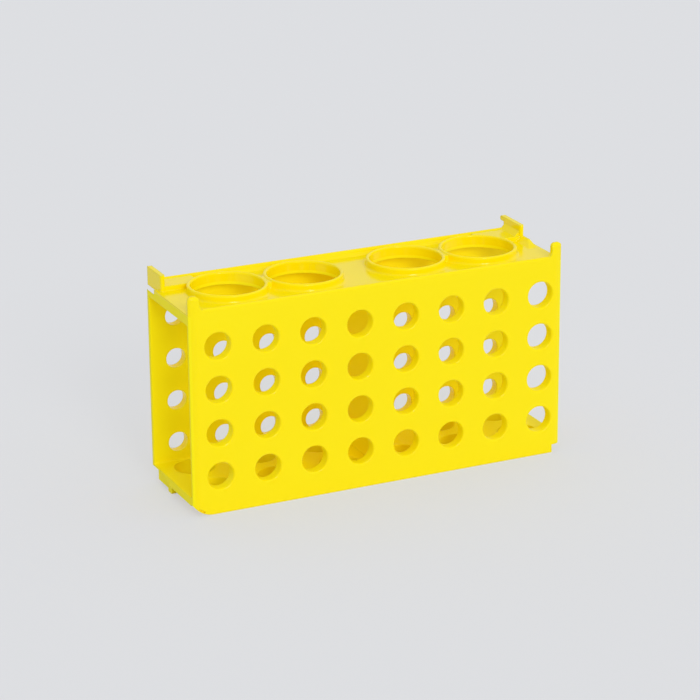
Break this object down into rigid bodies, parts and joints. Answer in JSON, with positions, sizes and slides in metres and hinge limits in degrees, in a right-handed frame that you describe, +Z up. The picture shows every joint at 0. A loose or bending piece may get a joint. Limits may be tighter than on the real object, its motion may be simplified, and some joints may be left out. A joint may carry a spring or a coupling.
{
  "type": "microcentrifuge tube rack",
  "caption": "Open-ended four-way laboratory rack, moulded in one piece, with a different size of tube hole in each of its long sides.",
  "frame": {"origin": "centre of the bounding box's bottom face, on the surface the rack stands on", "axes": "+X along the rack, +Y from the front panel to the back panel, +Z up through the deck"},
  "size_m": [0.1734, 0.0498, 0.0964],
  "materials": {
    "rack": "glossy injection-moulded polypropylene"
  },
  "bodies": {
    "root": {"rack": "rack"}
  },
  "joints": []
}
